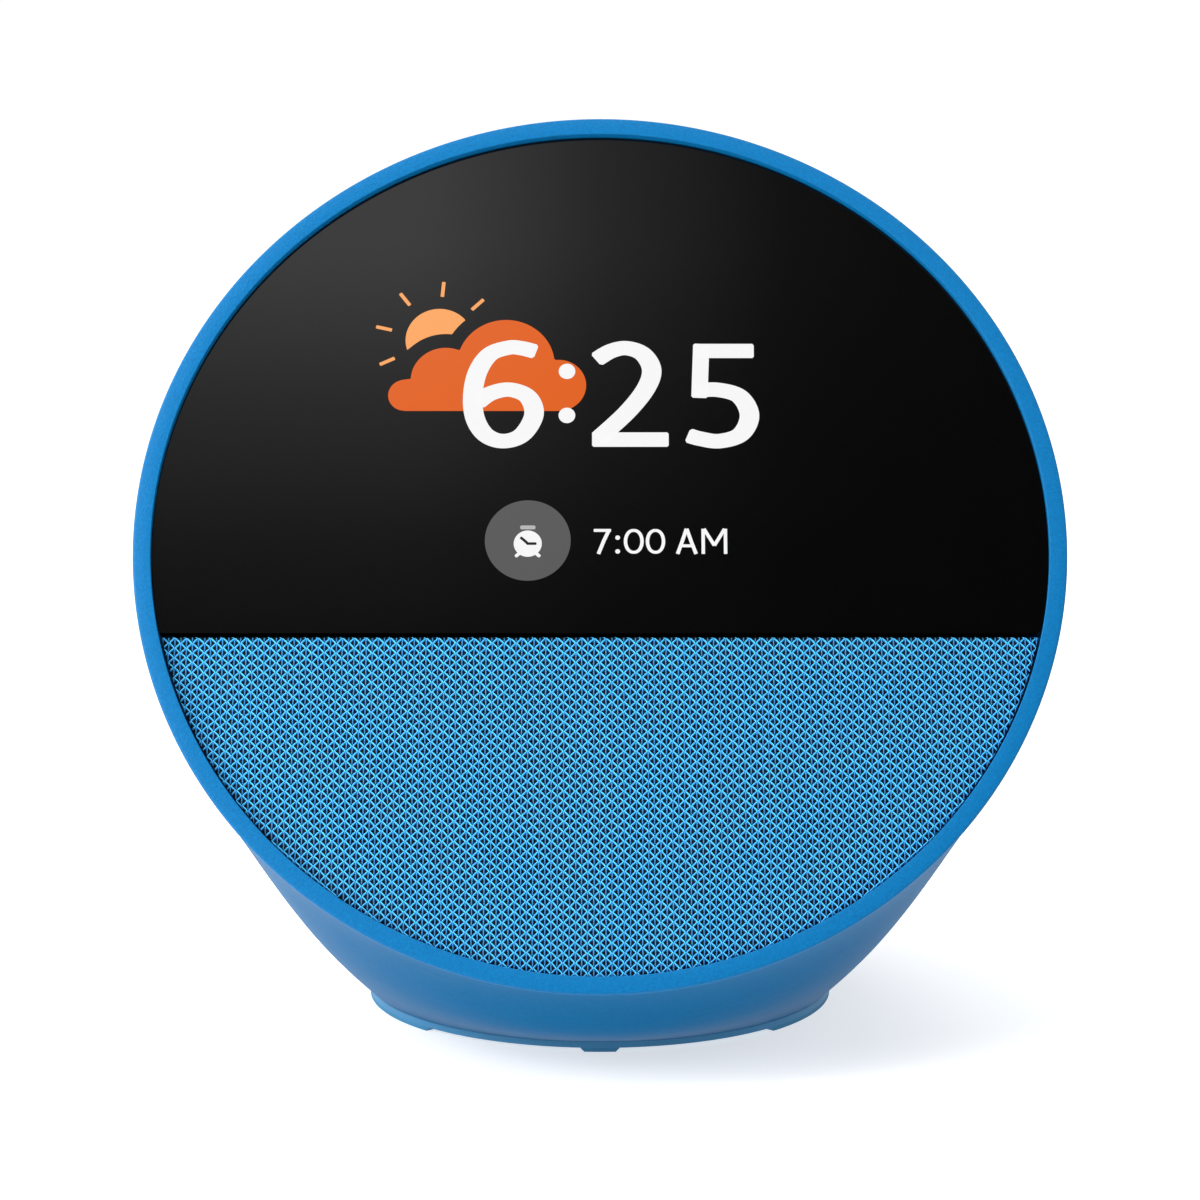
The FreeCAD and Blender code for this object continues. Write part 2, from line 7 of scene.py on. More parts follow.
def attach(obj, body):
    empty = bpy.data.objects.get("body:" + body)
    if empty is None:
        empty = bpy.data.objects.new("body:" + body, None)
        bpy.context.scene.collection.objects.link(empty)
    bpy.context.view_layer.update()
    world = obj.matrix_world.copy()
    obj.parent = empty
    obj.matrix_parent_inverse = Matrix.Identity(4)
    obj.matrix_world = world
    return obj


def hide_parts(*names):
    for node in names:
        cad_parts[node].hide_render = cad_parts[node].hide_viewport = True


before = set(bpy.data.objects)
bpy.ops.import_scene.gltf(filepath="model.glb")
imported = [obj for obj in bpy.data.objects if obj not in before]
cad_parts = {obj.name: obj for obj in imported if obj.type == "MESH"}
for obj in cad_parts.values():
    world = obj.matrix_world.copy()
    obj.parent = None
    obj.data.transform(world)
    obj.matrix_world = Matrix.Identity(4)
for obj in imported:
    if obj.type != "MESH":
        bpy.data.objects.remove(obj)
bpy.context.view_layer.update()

# Body. One moulding in blue ABS, a dome that narrows to the base, shot with a fine satin grain
# from an etched mould. The casting flows from the front ring without a step.
mm = 0.001
blue = (0.0005, 0.126, 0.325)


def add(tree, kind, **inputs):
    """A node in a material's tree, with its input sockets set by name."""
    made = tree.nodes.new("ShaderNode" + kind)
    for name, value in inputs.items():
        made.inputs[name.replace("_", " ")].default_value = value
    return made


def new_material(name):
    """A material holding a Principled shader, and its tree and shader."""
    made = bpy.data.materials.new(name)
    made.use_nodes = True
    tree = made.node_tree
    tree.nodes.clear()
    shader = add(tree, "BsdfPrincipled")
    out = add(tree, "OutputMaterial")
    tree.links.new(shader.outputs["BSDF"], out.inputs["Surface"])
    return made, tree, shader


def mottle(tree, shader, colour, strength, size):
    """Base colour with soft cloudy variation of that strength, in patches of that size."""
    place = add(tree, "TexCoord")
    patches = add(tree, "TexNoise", Scale=1 / size, Detail=3.0)
    ramp = add(tree, "ValToRGB")
    ramp.color_ramp.elements[0].position = 0.3
    ramp.color_ramp.elements[1].position = 0.7
    ramp.color_ramp.elements[0].color = [c * (1 - strength) for c in colour] + [1]
    ramp.color_ramp.elements[1].color = [min(1, c * (1 + strength)) for c in colour] + [1]
    tree.links.new(place.outputs["Object"], patches.inputs["Vector"])
    tree.links.new(patches.outputs["Fac"], ramp.inputs["Fac"])
    tree.links.new(ramp.outputs["Color"], shader.inputs["Base Color"])
    return place


def grain(tree, shader, place, size, height):
    """Fine bump of a moulded or cast skin."""
    pits = add(tree, "TexNoise", Scale=1 / size, Detail=2.0, Roughness=0.6)
    bump = add(tree, "Bump", Strength=1.0, Distance=height)
    tree.links.new(place.outputs["Object"], pits.inputs["Vector"])
    tree.links.new(pits.outputs["Fac"], bump.inputs["Height"])
    tree.links.new(bump.outputs["Normal"], shader.inputs["Normal"])


def moulded(name, colour, roughness, size=0.35 * mm, height=0.012 * mm, strength=0.05, shine=0.3,
           patch=9 * mm):
    made, tree, shader = new_material(name)
    shader.inputs["Roughness"].default_value = roughness
    shader.inputs["Specular IOR Level"].default_value = shine
    place = mottle(tree, shader, colour, strength, patch)
    grain(tree, shader, place, size, height)
    return made


def finish_node(name, material):
    """Gives a CAD node its finish."""
    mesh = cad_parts[name].data
    mesh.materials.clear()
    mesh.materials.append(material)


# The body takes the ring's blue made darker: painted shade for the shade that lies on its underside.
shaded_body_blue = moulded("shaded_body_blue", (0.0005, 0.100, 0.245), 0.5, 0.25 * mm, 0.02 * mm, 0.06, 0.08, 0.5 * mm)
finish_node("rear_housing", shaded_body_blue)

# Front ring. The same blue moulding, a flat ring with softly broken edges that clips into the
# body's rim by a skirt and carries glass and cloth on a ledge behind them.
lean = radians(28.9)
face_radius = 56.5 * mm
face_middle = Vector((0, -24.2 * mm, 111 * mm - face_radius * cos(lean)))
face_to_row = Matrix.Translation(face_middle) @ Matrix.Rotation(pi / 2 - lean, 4, "X")
ring_width = 2.17 * mm
ring_inside = face_radius - ring_width


def new_piece(name, mesh, material, body, smooth=True):
    """An object for a finished mesh, riding on a body."""
    piece = bpy.data.objects.new(name, mesh)
    bpy.context.scene.collection.objects.link(piece)
    mesh.materials.clear()
    mesh.materials.append(material)
    mesh.polygons.foreach_set("use_smooth", [smooth] * len(mesh.polygons))
    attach(piece, body)
    return piece


def turned(name, profile, steps):
    """Mesh turned about the face's axis from a closed list of (radius, height) points."""
    turn = np.linspace(0, 2 * pi, steps, endpoint=False)
    rows = [[(r * cos(t), r * sin(t), h) for r, h in profile] for t in turn]
    points = [p for row in rows for p in row]
    n = len(profile)
    faces = []
    for i in range(steps):
        for j in range(n):
            a, b = i * n + j, i * n + (j + 1) % n
            c, d = ((i + 1) % steps) * n + (j + 1) % n, ((i + 1) % steps) * n + j
            faces.append((a, b, c, d))
    mesh = bpy.data.meshes.new(name)
    mesh.from_pydata(points, [], faces)
    mesh.transform(face_to_row)
    work = bmesh.new()
    work.from_mesh(mesh)
    bmesh.ops.recalc_face_normals(work, faces=work.faces)
    work.to_mesh(mesh)
    work.free()
    return mesh


def corner(r, h, radius, start, steps=5):
    """Points of a quarter round about (r, h), from the start angle, clockwise."""
    return [(r + radius * cos(start - pi / 2 * i / steps), h + radius * sin(start - pi / 2 * i / steps))
            for i in range(steps + 1)]


ring_blue = moulded("ring_blue", blue, 0.4, 0.24 * mm, 0.05 * mm, 0.12, 0.14, 0.3 * mm)
edge, inner_edge = 0.28 * mm, 0.1 * mm
lip, skirt_outside, ledge_inside = -0.5 * mm, ring_inside + 1.07 * mm, ring_inside - 1.5 * mm
ledge_front, ring_back = -2.9 * mm, -4.4 * mm
profile = corner(ring_inside + inner_edge, -inner_edge, inner_edge, pi)
profile += corner(face_radius - edge, -edge, edge, pi / 2)
profile += [(face_radius, lip), (skirt_outside, lip), (skirt_outside, ring_back), (ledge_inside, ring_back)]
profile += [(ledge_inside, ledge_front), (ring_inside, ledge_front)]
ring = new_piece("front_ring", turned("front_ring", profile, 320), ring_blue, "housing")
work = bmesh.new()
work.from_mesh(ring.data)
for side in work.edges:
    side.smooth = side.calc_face_angle() < radians(35)
work.to_mesh(ring.data)
work.free()
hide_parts("bezel_ring")

# Base plate and feet. A disc in a greyer blue closes the body from below, flush with it and held
# by four screws; low pads of soft rubber, a long one each side, stand just under its edge.
base_blue = moulded("base_blue", (0.035, 0.19, 0.36), 0.5)
foot_blue = moulded("foot_blue", (0.030, 0.17, 0.31), 0.7, 0.2 * mm, 0.01 * mm)
finish_node("base_plate", base_blue)
finish_node("foot_pads", foot_blue)

# Cover glass. Flat glass, printed black on its back and polished on its front, glued to the
# ledge all round and to a bar along its lower edge.
cover_black, tree, shader = new_material("cover_black")
shader.inputs["Roughness"].default_value = 0.06
shader.inputs["IOR"].default_value = 1.5
mottle(tree, shader, (0.0008, 0.0008, 0.0009), 0.25, 40 * mm)
finish_node("cover_glass", cover_black)

# Speaker cloth. Open warp-knit polyester stretched over a stiff grille: bright wavy strands that
# meet and part to leave staggered openings, and a loop in each. Under the knit lies a near-black
# sheet, painted shade for the shade seen through the openings; the yarns carry painted highlights
# along their peaks and painted shade at their sides.
cloth_depth = -1.5 * mm
cloth_top = -11.95 * mm
cloth_radius = ring_inside - 0.28 * mm
pitch_x, pitch_v = 1.44 * mm, 1.24 * mm
wave = 0.30 * mm
sway_patch, sway_reach = 2.2 * mm, 0.28 * mm
wrap_depth = 0.7 * mm


def inside_cloth(x, v, margin):
    return v < cloth_top - margin and hypot(x, v) < cloth_radius - margin


def wrapped(points):
    """Pulls what lies beyond the cloth's outline back to it and down over the grille's edge."""
    x, v, h = points[:, 0], points[:, 1], points[:, 2]
    over = np.maximum(v - cloth_top, 0)
    v = v - over
    reach = np.hypot(x, v)
    scale = np.minimum(1, cloth_radius / np.maximum(reach, 1e-9))
    over = over + np.maximum(reach - cloth_radius, 0)
    return np.stack([x * scale, v * scale, h - np.minimum(over, wrap_depth)], 1)


def set_points(mesh, points):
    mesh.vertices.foreach_set("co", points.astype(np.float32).ravel())
    mesh.update()


def get_points(mesh):
    points = np.empty(len(mesh.vertices) * 3, np.float32)
    mesh.vertices.foreach_get("co", points)
    return points.reshape(-1, 3).astype(float)


def ribbon(stations, across, path, half_width, height, highlight_and_shade):
    """Arched strip along path(t) at those t, with a point attribute of painted light: high for a painted
    highlight, low for painted shade.
    """
    points, painted_light_values = [], []
    for t in stations:
        a, b = Vector(path(t - 0.01)), Vector(path(t + 0.01))
        side = Vector(((b - a).y, -(b - a).x)).normalized()
        x, y = path(t)
        for s in across:
            rise = sqrt(1 - s * s)
            points.append((x + side.x * s * half_width(t), y + side.y * s * half_width(t), height(t) * rise))
            # Painted light value of this point: high where a highlight is painted, low where shade is
            # painted.
            painted_light_values.append(highlight_and_shade(t, s))
    n = len(across)
    faces = [(i * n + j, i * n + j + 1, (i + 1) * n + j + 1, (i + 1) * n + j)
             for i in range(len(stations) - 1) for j in range(n - 1)]
    mesh = bpy.data.meshes.new("yarn_unit")
    mesh.from_pydata(points, [], faces)
    mesh.attributes.new("highlight_and_shade", "FLOAT", "POINT").data.foreach_set("value", painted_light_values)
    return mesh


def knit(name, unit, centres, material, seed):
    """The unit repeated at each stitch by Geometry Nodes, slightly uneven as a real knit is."""
    holder = bpy.data.objects.new(name + "_unit", unit)
    bpy.context.scene.collection.objects.link(holder)
    mesh = bpy.data.meshes.new(name + "_stitches")
    mesh.from_pydata([(x, v, 0) for x, v in centres], [], [])
    grid = bpy.data.objects.new(name + "_grid", mesh)
    bpy.context.scene.collection.objects.link(grid)
    tree = bpy.data.node_groups.new(name + "_tree", "GeometryNodeTree")
    ports = {}
    for label, kind in (("Geometry", "Geometry"), ("Stitch", "Object"), ("Finish", "Material"),
                        ("Sway", "Float"), ("Seed", "Float")):
        port = tree.interface.new_socket(label, in_out="INPUT", socket_type="NodeSocket" + kind)
        ports[label] = port.identifier
    tree.interface.new_socket("Geometry", in_out="OUTPUT", socket_type="NodeSocketGeometry")
    make = lambda kind: tree.nodes.new(kind)
    link = tree.links.new
    given, out = make("NodeGroupInput"), make("NodeGroupOutput")
    stitch, instance = make("GeometryNodeObjectInfo"), make("GeometryNodeInstanceOnPoints")
    realize, noise = make("GeometryNodeRealizeInstances"), make("ShaderNodeTexNoise")
    noise.noise_dimensions = "4D"
    noise.inputs["Scale"].default_value = 1 / sway_patch
    centre, sway = make("ShaderNodeVectorMath"), make("ShaderNodeVectorMath")
    centre.operation, sway.operation = "SUBTRACT", "SCALE"
    centre.inputs[1].default_value = (0.5, 0.5, 0.5)
    move, paint = make("GeometryNodeSetPosition"), make("GeometryNodeSetMaterial")
    link(given.outputs["Stitch"], stitch.inputs["Object"])
    link(given.outputs["Geometry"], instance.inputs["Points"])
    link(stitch.outputs["Geometry"], instance.inputs["Instance"])
    link(instance.outputs["Instances"], realize.inputs["Geometry"])
    link(given.outputs["Seed"], noise.inputs["W"])
    link(noise.outputs["Color"], centre.inputs[0])
    link(centre.outputs["Vector"], sway.inputs[0])
    link(given.outputs["Sway"], sway.inputs["Scale"])
    link(realize.outputs["Geometry"], move.inputs["Geometry"])
    link(sway.outputs["Vector"], move.inputs["Offset"])
    link(move.outputs["Geometry"], paint.inputs["Geometry"])
    link(given.outputs["Finish"], paint.inputs["Material"])
    link(paint.outputs["Geometry"], out.inputs["Geometry"])
    modifier = grid.modifiers.new("knit", "NODES")
    modifier.node_group = tree
    modifier[ports["Stitch"]] = holder
    modifier[ports["Finish"]] = material
    modifier[ports["Sway"]] = sway_reach
    modifier[ports["Seed"]] = seed
    ready = grid.evaluated_get(bpy.context.evaluated_depsgraph_get())
    mesh = bpy.data.meshes.new_from_object(ready)
    mesh.name = name
    for helper in (grid, holder):
        bpy.data.objects.remove(helper)
    points = wrapped(get_points(mesh))
    points[:, 2] += cloth_depth
    set_points(mesh, points)
    mesh.transform(face_to_row)
    return new_piece(name, mesh, material, "housing")


def yarn(name, low, high, glow):
    """Polyester yarn coloured from the ribbon's painted-light attribute: painted shade at its sides, a
    painted highlight along its peak.
    """
    made, tree, shader = new_material(name)
    shader.inputs["Roughness"].default_value = 0.45
    shader.inputs["Specular IOR Level"].default_value = 0.25
    painted_light_input = tree.nodes.new("ShaderNodeAttribute")
    painted_light_input.attribute_name = "highlight_and_shade"
    # Ramp from painted shade through the yarn's colour to a painted highlight.
    ramp = add(tree, "ValToRGB")
    ramp.color_ramp.elements[0].color = low + (1,)
    ramp.color_ramp.elements[1].color = high + (1,)
    ramp.color_ramp.elements[1].position = 0.95
    middle = ramp.color_ramp.elements.new(0.72)
    middle.color = glow + (1,)
    tree.links.new(painted_light_input.outputs["Fac"], ramp.inputs["Fac"])
    tree.links.new(ramp.outputs["Color"], shader.inputs["Base Color"])
    place = add(tree, "TexCoord")
    grain(tree, shader, place, 0.09 * mm, 0.01 * mm)
    return made


columns = int(2 * cloth_radius / pitch_x) + 2
rows = int((cloth_radius + cloth_top) / pitch_v) + 3
centres = []
for c in range(-columns, columns + 1):
    for r in range(rows):
        x = c * pitch_x / 2
        v = cloth_top - (r + (0.5 if c % 2 else 0.0)) * pitch_v - 0.1 * mm
        if abs(x) < cloth_radius and inside_cloth(x, v, -0.45 * mm):
            centres.append((x, v))
zigzag = 0.93


def strand_path(t):
    """A nearly straight zigzag with its turns rounded: straighter as 'zigzag' nears one."""
    return pitch_x / 4 - wave * asin(zigzag * cos(2 * pi * t)) / asin(zigzag), (t - 0.5) * pitch_v


# Strands: a painted highlight along a line that swings across each strand with its zigzag, painted shade
# towards its edges.
strand = ribbon([i / 6 for i in range(7)], (-1, -0.5, 0, 0.5, 1), strand_path,
                lambda t: (0.135 - 0.02 * sin(2 * pi * t) ** 2) * mm,
                lambda t: (0.24 - 0.03 * cos(4 * pi * t)) * mm,
                lambda t, s: np.exp(-((s - 0.3 * cos(2 * pi * t)) / 0.55) ** 2))
# Loops: painted shade at their sides, darker towards their lower end, and a painted highlight at the top of
# each.
loop = ribbon((0, 0.25, 0.6, 0.85, 1), (-1, -0.6, 0, 0.6, 1), lambda t: (0, (t * 0.8 - 0.32) * pitch_v),
              lambda t: (0.09 + 0.02 * t + 0.08 * t ** 6) * mm, lambda t: (0.10 + 0.12 * t) * mm,
              lambda t, s: (0.5 + 0.5 * t) * (1 - s * s))
# For each yarn the first colour is the painted shade of its sides and the second the painted highlight of
# its peak, with the third between them.
strand_blue = yarn("strand_blue", (0.028, 0.24, 0.53), (0.12, 0.84, 1.0), (0.045, 0.40, 0.80))
loop_blue = yarn("loop_blue", (0.003, 0.05, 0.15), (0.050, 0.36, 0.72), (0.030, 0.24, 0.54))
net = knit("cloth_strands", strand, centres, strand_blue, 3.0)
loops = knit("cloth_loops", loop, centres, loop_blue, 3.0)

# Near-black sheet under the knit: painted shade standing for the shade seen through its openings.
painted_shade_ground = moulded("painted_shade_ground", (0.0004, 0.0015, 0.005), 0.9, 0.12 * mm, 0.02 * mm)
half_chord = sqrt(cloth_radius ** 2 - cloth_top ** 2)
start, stop = atan2(cloth_top, half_chord), -pi - atan2(cloth_top, half_chord)
arc = [start + (stop - start) * i / 96 for i in range(97)]
rim = [(cloth_radius * cos(a), cloth_radius * sin(a)) for a in arc]
rim += [(-half_chord + 2 * half_chord * i / 40, cloth_top) for i in range(1, 40)]
cloth_middle = -32 * mm
points, faces = [(0, cloth_middle, 0)], []
for share, drop in ((0.5, 0), (0.97, 0), (1.0, 0), (1.0, wrap_depth * 0.6)):
    points += [(x * share, cloth_middle + (v - cloth_middle) * share, -drop) for x, v in rim]
n = len(rim)
faces += [(0, 1 + j, 1 + (j + 1) % n) for j in range(n)]
for ring_index in range(3):
    for j in range(n):
        a, b = 1 + ring_index * n + j, 1 + ring_index * n + (j + 1) % n
        faces.append((a, a + n, b + n, b))
mesh = bpy.data.meshes.new("speaker_cloth")
mesh.from_pydata([(x, v, h + cloth_depth) for x, v, h in points], [], faces)
mesh.transform(face_to_row)
cloth = new_piece("speaker_cloth", mesh, painted_shade_ground, "housing")
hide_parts("speaker_fabric")

# Picture on the screen: a clock face in plain numerals, with a sun behind a cloud and an alarm
# badge. Each mark is a film a hundredth of a millimetre thick, lit from behind.
glass_front = -0.95 * mm
film_gap = 0.012 * mm


def lit(name, colour, glow):
    """Light from the screen, seen through polished glass."""
    made, tree, shader = new_material(name)
    shader.inputs["Roughness"].default_value = 0.12
    shader.inputs["Base Color"].default_value = (0.0, 0.0, 0.0, 1)
    place = add(tree, "TexCoord")
    cells = add(tree, "TexVoronoi", Scale=1 / (0.11 * mm))
    shade = add(tree, "ValToRGB")
    shade.color_ramp.elements[0].color = colour + (1,)
    shade.color_ramp.elements[1].color = [c * 0.93 for c in colour] + [1]
    tree.links.new(place.outputs["Object"], cells.inputs["Vector"])
    tree.links.new(cells.outputs["Distance"], shade.inputs["Fac"])
    tree.links.new(shade.outputs["Color"], shader.inputs["Emission Color"])
    shader.inputs["Emission Strength"].default_value = glow
    return made


def film(name, outlines, material, layer):
    """Flat marks on the glass from closed outlines in millimetres, each star-shaped or a strip."""
    points, faces = [], []
    for kind, outline in outlines:
        first = len(points)
        points += [(x * mm, v * mm, glass_front + layer * film_gap) for x, v in outline]
        n = len(outline)
        if kind == "star":
            mid_x = sum(x for x, v in outline) / n
            mid_v = sum(v for x, v in outline) / n
            points.append((mid_x * mm, mid_v * mm, glass_front + layer * film_gap))
            faces += [(first + j, first + (j + 1) % n, first + n) for j in range(n)]
        else:
            last = first + n - 1
            faces += [(first + j, first + j + 1, last - 1 - j, last - j) for j in range(n // 2 - 1)]
    mesh = bpy.data.meshes.new(name)
    mesh.from_pydata(points, [], faces)
    work = bmesh.new()
    work.from_mesh(mesh)
    for face in work.faces:
        if face.normal.z < 0:
            face.normal_flip()
    work.to_mesh(mesh)
    work.free()
    mesh.transform(face_to_row)
    new_piece(name, mesh, material, "housing", smooth=False)


def disc(x, v, radius, steps=64):
    return ("star", [(x + radius * cos(2 * pi * i / steps), v + radius * sin(2 * pi * i / steps))
                     for i in range(steps)])


def smooth_path(points, steps=8):
    """Catmull-Rom curve through a few points."""
    line = []
    ends = [points[0]] + list(points) + [points[-1]]
    for a, b, c, d in zip(ends, ends[1:], ends[2:], ends[3:]):
        for i in range(steps):
            t = i / steps
            line.append(tuple(0.5 * (2 * q + (r - p) * t + (2 * p - 5 * q + 4 * r - s) * t * t
                                     + (3 * q - p - 3 * r + s) * t ** 3) for p, q, r, s in zip(a, b, c, d)))
    return line + [tuple(points[-1])]


def stroke(line, stem, bar, soften=0.28):
    """Strip along a line by a pen that is stem wide across an upright and bar across a level run."""
    left, right = [], []
    count = len(line)
    for i, (x, v) in enumerate(line):
        a, b = line[max(i - 1, 0)], line[min(i + 1, count - 1)]
        long = hypot(b[0] - a[0], b[1] - a[1])
        nx, nv = -(b[1] - a[1]) / long, (b[0] - a[0]) / long
        left.append((x + nx * stem / 2, v + nv * bar / 2))
        right.append((x - nx * stem / 2, v - nv * bar / 2))
    for i, side in ((0, 1), (-1, -1)):
        a, b = line[i], line[i + side]
        long = hypot(b[0] - a[0], b[1] - a[1])
        ux, uv = (a[0] - b[0]) / long, (a[1] - b[1]) / long
        tips = []
        for edge_points in (left, right):
            ex, ev = edge_points[i]
            tips.append((a[0] + (ex - a[0]) * (1 - soften) + ux * soften * bar / 2,
                         a[1] + (ev - a[1]) * (1 - soften) + uv * soften * bar / 2))
        if side == 1:
            left.insert(0, tips[0])
            right.insert(0, tips[1])
        else:
            left.append(tips[0])
            right.append(tips[1])
    return ("strip", left + right[::-1])


lit_white = lit("lit_white", (1.0, 1.0, 1.0), 0.96)
lit_orange = lit("lit_orange", (0.78, 0.125, 0.010), 1.0)
lit_amber = lit("lit_amber", (1.0, 0.40, 0.125), 1.0)
lit_grey = lit("lit_grey", (0.108, 0.108, 0.108), 1.0)
lit_dark = lit("lit_dark", (0.018, 0.018, 0.018), 1.0)
lit_silver = lit("lit_silver", (0.5, 0.5, 0.5), 1.0)

lobes = ((-23.9, 19.36, 2.08), (-18.97, 21.4, 4.27), (-11.58, 23.4, 6.0), (-5.1, 20.67, 3.4))
cloud_floor = 17.28
heart_x, heart_v = -13.0, 20.2


def ray_out(x, v, ux, uv, circle):
    """How far a ray from inside or near a circle runs to its far side, or 0 if it misses."""
    dx, dv = circle[0] - x, circle[1] - v
    along = dx * ux + dv * uv
    inside = along ** 2 - dx ** 2 - dv ** 2 + circle[2] ** 2
    return along + sqrt(inside) if inside > 0 else 0.0


cloud = []
for i in range(240):
    ux, uv = cos(2 * pi * i / 240), sin(2 * pi * i / 240)
    reach = max(ray_out(heart_x, heart_v, ux, uv, lobe) for lobe in lobes)
    if uv < 0:
        to_floor = (heart_v - cloud_floor) / -uv
        if lobes[0][0] <= heart_x + to_floor * ux <= lobes[3][0]:
            reach = to_floor
    cloud.append((heart_x + reach * ux, heart_v + reach * uv))
film("screen_cloud", [("star", cloud)], lit_orange, 1)

sun_x, sun_v, sun_radius = -19.8, 26.74, 4.15
gaps = ((lobes[1][0], lobes[1][1], lobes[1][2] + 1.85), (lobes[2][0], lobes[2][1], lobes[2][2] + 1.8))
eye_x, eye_v = -20.2, 29.2
sun = []
for i in range(160):
    ux, uv = cos(2 * pi * i / 160), sin(2 * pi * i / 160)
    reach = ray_out(eye_x, eye_v, ux, uv, (sun_x, sun_v, sun_radius))
    for gx, gv, gr in gaps:
        along = (gx - eye_x) * ux + (gv - eye_v) * uv
        inside = along ** 2 - (gx - eye_x) ** 2 - (gv - eye_v) ** 2 + gr ** 2
        if inside > 0 and along > 0:
            reach = min(reach, along - sqrt(inside))
    sun.append((eye_x + reach * ux, eye_v + reach * uv))
marks = [("star", sun)]
for turn in (46, 5, -37, -77, -115):
    ux, uv = sin(radians(turn)), cos(radians(turn))
    marks.append(stroke([(sun_x - 0.2 + r * ux, sun_v + r * uv) for r in (5.85, 6.8, 7.75)], 0.45, 0.45))
film("screen_sun", marks, lit_amber, 1)

stem, bar = 2.4, 1.9
six = [(-8.1, 25.2), (-9.6, 25.6), (-11.2, 25.7), (-13.54, 24.8), (-15.05, 22.4), (-15.6, 19.2),
       (-15.25, 16.2), (-13.9, 14.05), (-11.77, 13.3), (-9.5, 14.15), (-8.08, 16.8), (-8.85, 19.15),
       (-11.1, 20.1), (-13.4, 19.6), (-14.9, 18.5)]
two = [(-0.3, 24.2), (1.4, 25.25), (3.3, 25.62), (5.3, 24.8), (6.35, 22.7), (5.6, 20.2), (3.3, 17.1),
       (-0.15, 13.7)]
five = [(11.9, 19.95), (14.4, 20.08), (17.1, 19.2), (18.3, 16.7), (17.2, 14.2), (14.6, 13.3), (12.3, 13.6),
        (10.95, 14.0)]
digits = [stroke(smooth_path(six), stem, bar), stroke(smooth_path(two), stem, bar),
          stroke([(-0.78, 13.5), (3.0, 13.5), (8.2, 13.5)], bar, bar, 0.2),
          stroke(smooth_path(five), stem, bar),
          stroke([(11.66, 25.25), (15.0, 25.25), (18.73, 25.25)], bar, bar, 0.2),
          stroke([(12.46, 26.0), (12.3, 22.0), (12.2, 19.2)], 2.0, 2.0, 0.2),
          disc(-4.05, 22.53, 1.02), disc(-4.05, 16.69, 1.02)]
film("screen_time", digits, lit_white, 2)

badge_x, badge_v = -8.75, 0.35
film("screen_badge", [disc(badge_x, badge_v, 5.2, 96)], lit_grey, 1)
clock_v = badge_v - 0.42
icon = [disc(badge_x, clock_v, 1.7)]
for side in (-1, 1):
    icon.append(stroke([(badge_x + side * 0.95, clock_v - 1.2), (badge_x + side * 1.2, clock_v - 1.42),
                        (badge_x + side * 1.42, clock_v - 1.62)], 0.42, 0.42, 0.5))
film("screen_alarm", icon, lit_white, 2)
top_bar = stroke([(badge_x - 0.8, clock_v + 2.1), (badge_x, clock_v + 2.1), (badge_x + 0.8, clock_v + 2.1)],
                 0.5, 0.5, 0.5)
film("screen_alarm_bar", [top_bar], lit_silver, 2)
hour = [(badge_x - 0.85, clock_v + 0.78), (badge_x - 0.4, clock_v + 0.4), (badge_x, clock_v)]
minute = [(badge_x - 0.08, clock_v), (badge_x + 0.5, clock_v), (badge_x + 1.0, clock_v)]
hands = [stroke(hand, 0.34, 0.34, 0.4) for hand in (hour, minute)]
film("screen_alarm_hands", hands, lit_dark, 3)

foot, head, thin, level = -1.38, 1.83, 0.42, 0.38


def nought(x0, x1):
    """A nought between two sides."""
    mid_x, half_w = (x0 + x1) / 2, (x1 - x0 - thin) / 2
    mid_v, half_h = (foot + head) / 2, (head - foot - level) / 2
    line = []
    for i in range(41):
        across = sin(2 * pi * i / 40)
        line.append((mid_x + half_w * abs(across) ** 0.9 * (1 if across > 0 else -1),
                     mid_v + half_h * cos(2 * pi * i / 40)))
    return stroke(line, thin, level, 0.01)


bar_v = head - level / 2
small = [stroke([(-0.72, bar_v), (0.2, bar_v), (1.3, bar_v)], thin, level, 0.2),
         stroke([(1.08, head - 0.2), (0.48, 0.35), (-0.18, foot)], 0.45, thin, 0.1),
         disc(2.14, 0.7, 0.29, 24), disc(2.14, -1.08, 0.29, 24), nought(2.88, 5.3), nought(5.54, 7.9),
         stroke([(9.4, foot), (9.95, 0.2), (10.48, head)], 0.45, thin, 0.1),
         stroke([(10.52, head), (11.05, 0.2), (11.62, foot)], 0.45, thin, 0.1),
         stroke([(9.75, -0.35), (10.5, -0.35), (11.25, -0.35)], level, level, 0.05),
         stroke([(12.5, foot), (12.5, 0.2), (12.5, head)], thin, level, 0.1),
         stroke([(15.2, foot), (15.2, 0.2), (15.2, head)], thin, level, 0.1),
         stroke([(12.6, head), (13.2, 0.8), (13.85, -0.3)], 0.44, level, 0.1),
         stroke([(13.85, -0.3), (14.5, 0.8), (15.1, head)], 0.44, level, 0.1)]
film("screen_alarm_time", small, lit_white, 2)

# Buttons. Three caps of the body's plastic in round wells behind the top of the face, each with
# a raised mark: less, a crossed microphone, more.
face_up = face_to_row.to_3x3() @ Vector((0, 1, 0))
button_depth, button_pitch = -16 * mm, 14.0
level_mark = [[(-1.5, 0), (1.5, 0)]]
upright_mark = [[(0, -1.5), (0, 1.5)]]
microphone_mark = [[(0, -0.4), (0, 1.3)],
                   [(-0.95, -0.1), (-0.7, -0.85), (0, -1.15), (0.7, -0.85), (0.95, -0.1)],
                   [(0, -1.15), (0, -1.8)], [(-1.5, 1.5), (1.5, -1.5)]]


